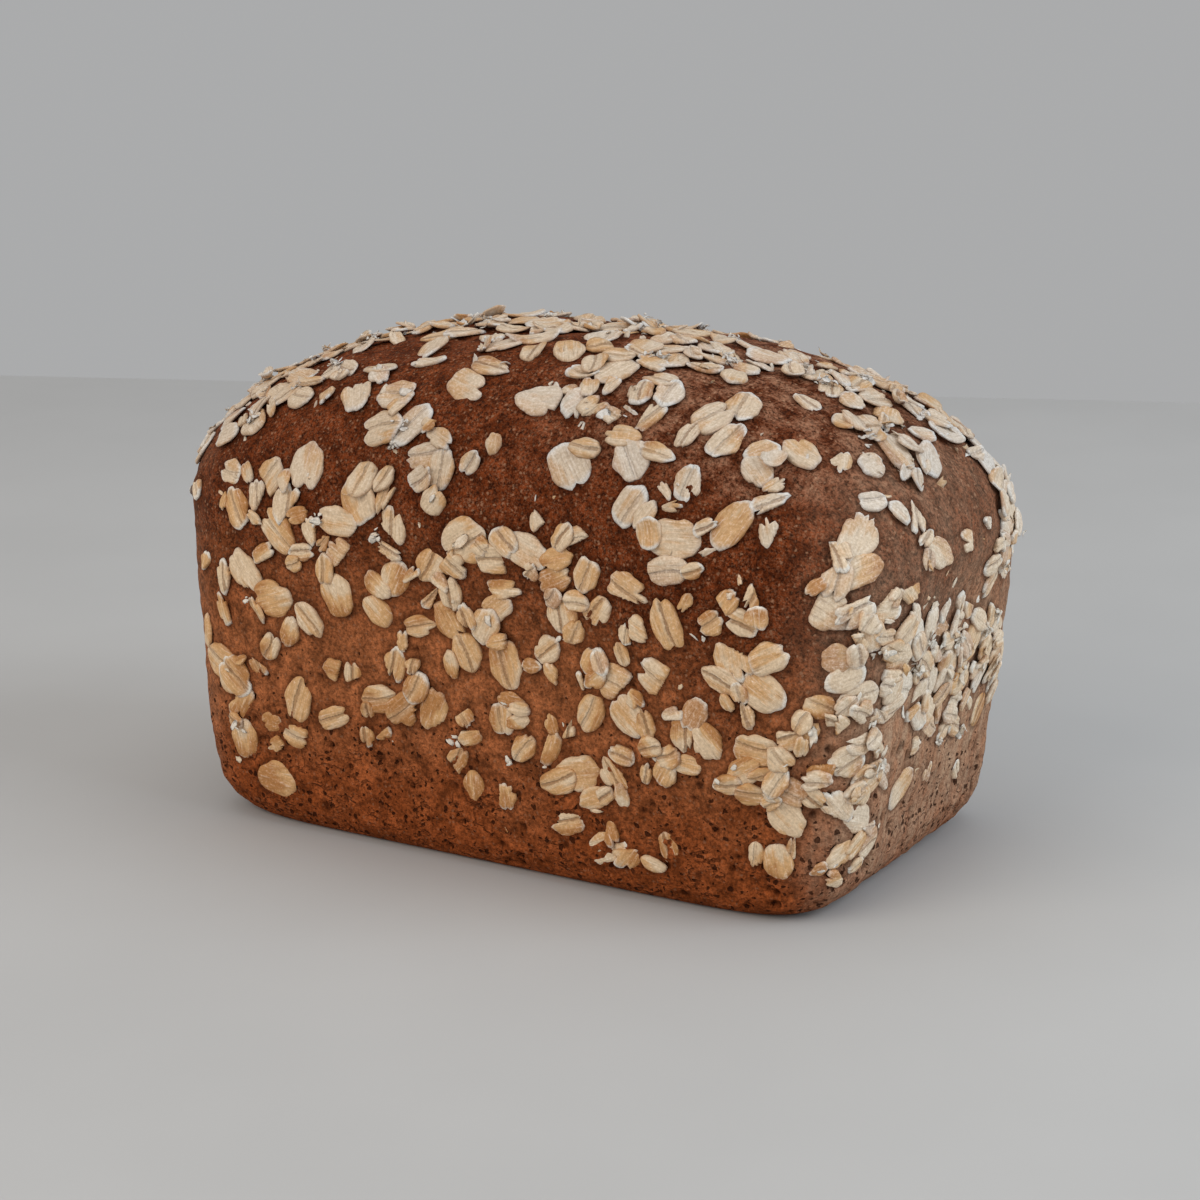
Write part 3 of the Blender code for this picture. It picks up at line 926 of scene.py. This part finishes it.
def press_pits(bm):
    """Sinks open pores into the crust, most of them low on the walls, and marks how deep they are."""
    hollow = bm.verts.layers.float.new("hollow")
    ground = Ground(bm)
    tree = KDTree(len(bm.verts))
    for number, vert in enumerate(bm.verts):
        tree.insert(vert.co, number)
    tree.balance()
    rng = random.Random(PIT_SEED)
    sunk = [0.0] * len(bm.verts)
    marks = [0.0] * len(bm.verts)
    for _ in range(bpy.context.scene.tin_loaf_sizes.pits):
        centre, _ = ground.pick(rng)
        low = 1 - ramp(centre.z, *PITTED_BELOW)
        radius = rng.uniform(*PIT_WIDTHS)
        if rng.random() < WIDE_PIT_SHARE * low:
            radius = rng.uniform(*WIDE_PIT_WIDTHS)
        depth = radius * rng.uniform(*PIT_DEPTH_SHARES)
        if rng.random() > max(low, PITS_ON_CROWN) or centre.z < ROUGH_FROM / 2:
            continue
        tall = 1 + END_PIT_STRETCH * ramp(abs(centre.x), *END_WALL)
        for place, number, _ in tree.find_range(centre, radius * tall):
            away = place - centre
            away.z /= tall
            bowl = max(0.0, 1 - away.length_squared / radius ** 2) ** PIT_BLUNTNESS
            sunk[number] = max(sunk[number], depth * bowl)
            marks[number] = max(marks[number], bowl)
    moves = [vert.normal * -sunk[number] for number, vert in enumerate(bm.verts)]
    for vert, move, mark in zip(bm.verts, moves, marks):
        vert.co += move
        vert[hollow] = mark


class Flake:
    """The outline and relief of the flake that an oat on the crust shows."""

    def __init__(self, oat, number, thickness):
        rng = random.Random(FLAKE_SEED + number)
        self.oat = oat
        self.number = number
        self.crown = ramp(oat.centre.z, *ON_CROWN)
        self.torn = rng.random() < (TORN_AMONG_LARGE if number < LARGE_OATS else TORN_AMONG_SMALL)
        self.tear(rng)
        self.creased = rng.random() < CREASED
        self.lined = rng.uniform(*CREASE_LINES)
        self.crease_at = rng.uniform(*CREASE_PLACES)
        self.crease_depth = rng.uniform(*CREASE_DEPTHS)
        self.crease_bend = rng.uniform(*CREASE_BENDS)
        self.thickness = thickness * rng.uniform(*THICKNESS_SHARES)
        self.curl(rng)
        self.tint(rng)
        root = FLAKE_ROOT if oat.lift < LIFTED_FROM else LIFTED_ROOT
        self.root = mix(root, LIFTED_ROOT, 0.5 * self.crown)

    def tear(self, rng):
        """Deals out the lobes, notches and breaks of the rim."""
        self.lobes = [(k, rng.uniform(*LOBE_DEPTHS), rng.uniform(0, math.tau)) for k in LOBE_COUNTS]
        self.rough = rng.uniform(*RIM_ROUGHNESS) + TORN_ROUGHER * self.torn
        shallow, deep = NOTCH_DEPTHS
        deep += TORN_DEEPER * self.torn
        self.notches = []
        for _ in range(rng.choice(NOTCH_COUNTS) + 2 * self.torn):
            end = rng.choice((0, math.pi)) + rng.gauss(0, NOTCH_SPREAD)
            self.notches.append((end, rng.uniform(shallow, deep), rng.uniform(*NOTCH_WIDTHS)))
        breaks = rng.choice(BREAK_COUNTS) if self.torn else 0
        self.broken = [(rng.uniform(0, math.tau), rng.uniform(*BREAK_PLACES)) for _ in range(breaks)]

    def curl(self, rng):
        """Deals out how the flake bends and tips."""
        curl = mix(PRESSED_CURL, CURLED_MORE if rng.random() < CURLED else 1.0, self.crown)
        self.curl_long = rng.uniform(*LONG_CURLS) * curl
        self.curl_wide = rng.uniform(*WIDE_CURLS) * curl
        self.twist = rng.gauss(0, TWIST) * mix(PRESSED_TWIST, 1.0, self.crown)
        self.tip_long = rng.gauss(0, TIP) * mix(PRESSED_TIP, 1.0, self.crown)
        self.tip_wide = rng.gauss(0, TIP) * mix(PRESSED_TIP, 1.0, self.crown)

    def tint(self, rng):
        """Deals out how toasted and floury the flake is, and how deep it sank."""
        x, _, z = self.oat.centre
        pressed = 1 - self.crown
        self.gilt = abs(rng.gauss(0, GILT))
        gilt_way = rng.uniform(0, math.tau)
        self.gilt_side = Vector((math.cos(gilt_way), math.sin(gilt_way)))
        self.belly = rng.gauss(*BELLY)
        self.frayed = max(0.0, rng.gauss(*FRAYED)) + TORN_FRAYED * self.torn
        low = 1 - ramp(z, *LOW_WALL)
        at_end = ramp(abs(x), *NEAR_ENDS)
        # Painted shade: flakes low on the near left are made warmer and less floury, as if in shade
        shaded = (1 - ramp(z, *SHADED_HEIGHTS)) * (1 - ramp(x, *SHADED_LENGTHS))
        self.sunk = SUNK_LOW * low + SUNK_PRESSED * pressed
        warmth = rng.gauss(*WARMTH) + WARMER_LOW * low + WARMER_SHADED * shaded
        warmth -= COOLER_CROWN * self.crown + COOLER_ENDS * at_end
        if self.number > LARGE_OATS and rng.random() < HALF_SUNK * pressed:
            warmth += HALF_SUNK_WARMTH
            self.sunk += HALF_SUNK_DEPTH
        self.toast = min(MOST_TOASTED, max(0.0, warmth))
        floury = rng.gauss(*FLOUR) * (1 - shaded) + FLOUR_ENDS * at_end + FLOUR_CROWN * self.crown
        self.flour = min(MOST_FLOURED, max(0.0, floury))

    def outline(self, angle):
        """Radius of the flake's edge, as a share of the plain oval."""
        place = angle / math.tau * OAT_SIDES
        first = math.floor(place)
        ragged = self.oat.ragged
        share = ramp(place - first, 0, 1)
        radius = mix(ragged[first % OAT_SIDES], ragged[(first + 1) % OAT_SIDES], share)
        for count, strength, phase in self.lobes:
            radius += strength * math.sin(count * angle + phase)
        way = Vector((math.cos(angle) * RIM_GRAIN, math.sin(angle) * RIM_GRAIN, self.number))
        radius += self.rough * noise.noise(way)
        for end, depth, width in self.notches:
            turn = (angle - end + math.pi) % math.tau - math.pi
            radius -= depth * math.exp(-((turn / width) ** 2))
        for way, distance in self.broken:
            facing = math.cos(angle - way)
            if facing > 0.05:
                jag = BREAK_JAG * noise.noise(Vector((angle * 6, self.number, 3.1)))
                radius = min(radius, distance / facing + jag)
        return max(NARROWEST, radius)

    def off_crease(self, across, along):
        """How far a place on the flake lies from the middle of its crease."""
        return across - self.crease_at - self.crease_bend * along * along

    def groove(self, across, along):
        """1 on the crease and 0 off it."""
        if not self.creased:
            return 0.0
        off = self.off_crease(across, along) / CREASE_WIDTH
        return math.exp(-(off ** 2)) * (1 - ramp(abs(along), *CREASE_ENDS))

    def rim_point(self, place):
        """One of the points spread round the flake's rim."""
        angle = place / RIM_PLACES * math.tau
        return self.point(Vector((math.cos(angle), math.sin(angle), 0)))[0]

    def point(self, ball):
        """Where a point of the unit ball lies on the flake, its place on it, and how it is marked."""
        reach = min(1.0, ball.xy.length)
        angle = math.atan2(ball.y, ball.x)
        radius = reach * self.outline(angle)
        along, across = radius * math.cos(angle), radius * math.sin(angle)
        x, y = along * self.oat.length / 2, across * self.oat.width / 2
        spot = self.oat.frame @ Vector((x, y, 0))
        normal = self.oat.normal
        hit = pressing_ground().ray_cast(spot + normal * PRESS_REACH, -normal, 2 * PRESS_REACH)[0]
        bed = (hit - spot).dot(normal) * PRESSED if hit else 0.0
        lay = bed + self.oat.height(x, y) - self.sunk
        lay += self.curl_long * along ** 2 + self.curl_wide * across ** 2 + self.twist * along * across
        lay += self.tip_long * along + self.tip_wide * across
        body = math.sqrt(max(0.0, 1 - reach ** BLUNT_RIM))
        if ball.z > TINY:
            lay += body * self.thickness - self.groove(across, along) * self.crease_depth
            for waves_long, waves_wide, offset, height in RIPPLES:
                spot = Vector((x / MM * waves_long, y / MM * waves_wide, self.number * offset))
                lay += body * height * noise.noise(spot)
        elif ball.z < -TINY:
            lay -= body * self.root
        toast = self.toast + self.belly * (0.5 - abs(across))
        toast += self.gilt * self.gilt_side.dot((along, across))
        frayed = ramp(reach, *FRAYED_RIM) * ramp(abs(along), *FRAYED_TIPS)
        crease = NO_CREASE
        if self.creased:
            crease = self.off_crease(across, along) * self.oat.width / 2 / MM
        place = self.oat.frame @ Vector((x, y, lay))
        marks = (toast, self.flour + self.frayed * frayed, reach, crease, self.lined)
        return place, (x / MM + MAPS_APART * self.number, y / MM), marks


@functools.cache
def flakes():
    thickness = bpy.context.scene.tin_loaf_oats.thickness
    return [Flake(oat, number, thickness) for number, oat in enumerate(dealt_oats())]


def flake_layers(bm):
    """The marks that the oats' finish reads."""
    marks = [bm.verts.layers.float.new(name) for name in FLAKE_MARKS]
    return marks, bm.loops.layers.uv.new("lay")


def mark(verts, layers, uv, places, values):
    """Writes the marks of each point, and its place on the flake as UV."""
    for vert, place, row in zip(verts, places, values):
        for layer, value in zip(layers, row):
            vert[layer] = value
        for loop in vert.link_loops:
            loop[uv].uv = place


def repeat(bm, count):
    """Copies the one shape in a bmesh until there are count of them, and gives each one's points."""
    mesh = bpy.data.meshes.new("shape")
    bm.to_mesh(mesh)
    bm.clear()
    bm.from_mesh(mesh)
    bpy.data.meshes.remove(mesh)
    each = [len(part) for part in (bm.verts, bm.edges, bm.faces)]
    have = 1
    while have < count:
        more = min(have, count - have)
        geometry = []
        for part, size in zip((bm.verts, bm.edges, bm.faces), each):
            part.ensure_lookup_table()
            geometry += part[:more * size]
        bmesh.ops.duplicate(bm, geom=geometry)
        have += more
    bm.verts.ensure_lookup_table()
    return [bm.verts[number * each[0]:(number + 1) * each[0]] for number in range(count)]


def shape_flake(verts, layers, uv, flake):
    places, values = [], []
    for vert in verts:
        vert.co, place, row = flake.point(vert.co)
        places.append(place)
        values.append(row)
    mark(verts, layers, uv, places, values)


def shard_oat(rng, oats):
    """The oat that a shard lies by, most often on the crown or at an end."""
    while True:
        oat = rng.choice(oats)
        high = mix(SHARDS_ON_WALL, 1.0, ramp(oat.centre.z, *ON_CROWN))
        if rng.random() < max(high, ramp(abs(oat.centre.x), *END_WALL)):
            return oat


def shape_shard(verts, layers, uv, rng, ground, oats):
    """One splinter or crumb of oat, close to a flake, and many on the ones that were shredded."""
    sizes = bpy.context.scene.tin_loaf_oats
    heaped = rng.random() < HEAPED_SHARDS
    oat = shard_oat(rng, oats[::SHREDDED_EVERY] if heaped else oats)
    away = Vector((rng.gauss(0, 1), rng.gauss(0, 1), 0))
    away *= HEAP_REACH if heaped else oat.length * SHARD_SPREAD
    if heaped:
        away.x += oat.length / 2 * (1 if oat.ragged[0] > 1 else -1)
    place, normal, _, _ = ground.find_nearest(oat.frame @ away)
    longest = HEAPED_LONGEST if heaped else sizes.shard_longest
    length = mix(longest, sizes.shard_shortest, rng.random() ** SHARD_SIZE_CURVE)
    width = length * rng.uniform(*SHARD_WIDTHS)
    thick = rng.uniform(*SHARD_THICKNESS) * mix(SMALL_SHARD_THINNER, 1.0, length / sizes.shard_longest)
    crown = ramp(place.z, *ON_CROWN)
    near = [o for o in oats if (o.centre - place).length < o.length / 2 + length]
    lift = max((o.top_over(place) for o in near), default=0.0) + HEAP_HEIGHT * heaped * rng.random()
    turn = normal.to_track_quat("Z", "Y").to_matrix().to_4x4()
    loose = max(crown, HEAPED_LOOSE * heaped)
    tilt = Matrix.Identity(4)
    for axis, (least, more) in (("X", SHARD_TILT), ("Y", SHARD_ROLL)):
        tilt @= Matrix.Rotation(rng.gauss(0, least + more * loose), 4, axis)
    spin = Matrix.Rotation(rng.uniform(0, math.tau), 4, "Z")
    frame = Matrix.Translation(place + normal * (lift + thick * SHARD_RAISED)) @ turn @ tilt @ spin
    toast = max(0.0, rng.gauss(SHARD_TOAST[heaped], SHARD_TOAST_SPREAD))
    flour = min(1.0, max(0.0, rng.gauss(SHARD_FLOUR[heaped], SHARD_FLOUR_SPREAD)))
    bend = rng.gauss(0, SHARD_BEND) * length
    seed = Vector((rng.uniform(0, 90), rng.uniform(0, 90), rng.uniform(0, 90)))
    places, values = [], []
    for vert in verts:
        flat = vert.co.copy()
        grow = 1 + SHARD_RAGGED * noise.noise(flat * 1.7 + seed)
        rise = bend * flat.x * flat.x + flat.z * thick / 2
        local = Vector((flat.x * grow * length / 2, flat.y * grow * width / 2, rise))
        places.append((local.x / MM + seed.x * 10, local.y / MM))
        values.append((toast, flour, SHARD_RIM, NO_CREASE, SHARD_LINED))
        vert.co = frame @ local
    mark(verts, layers, uv, places, values)


class TINLOAF_OT_stage(bpy.types.Operator):
    """Puts up the camera, the plain table, the grey room and the soft lights"""

    bl_idname = "tin_loaf.stage"
    bl_label = "Stage"

    def execute(self, context):
        stage = context.scene.tin_loaf_stage
        data = bpy.data.cameras.new("camera")
        data.lens = stage.lens
        data.sensor_width = 36
        camera = added("camera", data)
        place, aim = Vector(stage.camera_place), Vector(stage.camera_aim)
        turn = (aim - place).to_track_quat("-Z", "Y").to_matrix().to_4x4()
        camera.matrix_world = Matrix.Translation(place) @ turn @ Matrix.Rotation(stage.camera_roll, 4, "Z")
        context.scene.camera = camera
        context.scene.view_settings.view_transform = "Standard"
        self.table(stage)
        self.room(context, stage)
        for name, where, size, tint in SOFT_LIGHTS:
            self.soft_light(name, where, size, getattr(stage, name + "_power"), tint)
        return {"FINISHED"}

    def table(self, stage):
        """A plain top whose far edge lies behind the loaf."""
        bm = bmesh.new()
        bmesh.ops.create_grid(bm, x_segments=24, y_segments=15, size=1.0)
        for vert in bm.verts:
            vert.co.x *= TABLE_HALF_WIDTH
            vert.co.y = mix(TABLE_NEAR, TABLE_FAR, (vert.co.y + 1) / 2)
        bm.transform(Matrix.Rotation(TABLE_TURN, 4, "Z"))
        finish = Finish("plain_table", 0.7, 0.2)
        cloud = finish.grain(TABLE_CLOUDS, 3.0)
        shade = finish.between(cloud, *TABLE_SHADES)
        finish.feed("Base Color", finish.blend(1.0, tuple(stage.floor_colour), shade, "MULTIPLY"))
        table = added_mesh("table", bm, finish.material)

    def room(self, context, stage):
        world = bpy.data.worlds.new("room")
        world.use_nodes = True
        world.node_tree.nodes["Background"].inputs["Color"].default_value = tuple(stage.air_colour)
        context.scene.world = world

    def soft_light(self, name, where, size, power, tint):
        data = bpy.data.lights.new(name, "AREA")
        data.energy = power
        data.size = size
        data.color = tint
        light = added(name, data)
        light.location = where
        light.rotation_euler = (LIGHTS_AIM - Vector(where)).to_track_quat("-Z", "Y").to_euler()


class TINLOAF_OT_crust(bpy.types.Operator):
    """Bakes the crust with its swells, crags and pits"""

    bl_idname = "tin_loaf.crust"
    bl_label = "Crust"

    def execute(self, context):
        bm = crust(*CRUST_GRID)
        foot = [face for face in bm.faces if all(vert.co.z < TINY for vert in face.verts)]
        bmesh.ops.delete(bm, geom=foot, context="FACES")
        bmesh.ops.contextual_create(bm, geom=[edge for edge in bm.edges if edge.is_boundary])
        push(bm, lambda point: lumps(point) + crags(point))
        mark_rim_shade(bm)
        press_pits(bm)
        made = piece("crust", bm, crust_finish())
        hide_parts("loaf")
        return {"FINISHED"}


class TINLOAF_OT_oats(bpy.types.Operator):
    """Presses whole and torn oat flakes onto the crust"""

    bl_idname = "tin_loaf.oats"
    bl_label = "Rolled oats"

    def execute(self, context):
        finish = oat_finish()
        whole = [flake for flake in flakes() if not flake.torn]
        kinds = (
            ("large_oats", LARGE_CUTS, [flake for flake in whole if flake.number < LARGE_OATS]),
            ("small_oats", SMALL_CUTS, [flake for flake in whole if flake.number >= LARGE_OATS]),
            ("torn_oats", TORN_CUTS, [flake for flake in flakes() if flake.torn]),
        )
        for name, (sides, rings), shown in kinds:
            bm = bmesh.new()
            layers, uv = flake_layers(bm)
            bmesh.ops.create_uvsphere(bm, u_segments=sides, v_segments=rings, radius=1.0)
            for verts, flake in zip(repeat(bm, len(shown)), shown):
                shape_flake(verts, layers, uv, flake)
            piece(name, bm, finish)
        return {"FINISHED"}


class TINLOAF_OT_shards(bpy.types.Operator):
    """Strews splinters and crumbs of oat between the flakes"""

    bl_idname = "tin_loaf.shards"
    bl_label = "Oat shards"

    def execute(self, context):
        bm = bmesh.new()
        layers, uv = flake_layers(bm)
        rng = random.Random(SHARD_SEED)
        oats = dealt_oats()
        bmesh.ops.create_icosphere(bm, subdivisions=2, radius=1.0)
        for verts in repeat(bm, context.scene.tin_loaf_oats.shards):
            shape_shard(verts, layers, uv, rng, pressing_ground(), oats)
        piece("oat_shards", bm, bpy.data.materials["rolled_oat"])
        return {"FINISHED"}


class TINLOAF_PT_panel(bpy.types.Panel):
    bl_label = "Tin loaf"
    bl_idname = "TINLOAF_PT_panel"
    bl_space_type = "VIEW_3D"
    bl_region_type = "UI"
    bl_category = "Tin loaf"

    def draw(self, context):
        for operator in OPERATORS:
            self.layout.operator(operator.bl_idname)
        for group in (name for name, _ in GROUPS):
            settings = getattr(context.scene, group)
            for prop in settings.bl_rna.properties:
                if prop.identifier not in ("rna_type", "name"):
                    self.layout.prop(settings, prop.identifier)


GROUPS = (
    ("tin_loaf_sizes", LoafSizes),
    ("tin_loaf_oats", OatSizes),
    ("tin_loaf_colours", BakeColours),
    ("tin_loaf_stage", StageSettings),
)
OPERATORS = (TINLOAF_OT_stage, TINLOAF_OT_crust, TINLOAF_OT_oats, TINLOAF_OT_shards)


def register():
    for name, group in GROUPS:
        bpy.utils.register_class(group)
        setattr(bpy.types.Scene, name, PointerProperty(type=group))
    for kind in (*OPERATORS, TINLOAF_PT_panel):
        bpy.utils.register_class(kind)


def unregister():
    for kind in reversed((*OPERATORS, TINLOAF_PT_panel)):
        bpy.utils.unregister_class(kind)
    for name, group in reversed(GROUPS):
        delattr(bpy.types.Scene, name)
        bpy.utils.unregister_class(group)


def main():
    register()
    bpy.ops.tin_loaf.stage()
    bpy.ops.tin_loaf.crust()
    bpy.ops.tin_loaf.oats()
    bpy.ops.tin_loaf.shards()


if __name__ == "__main__":
    main()
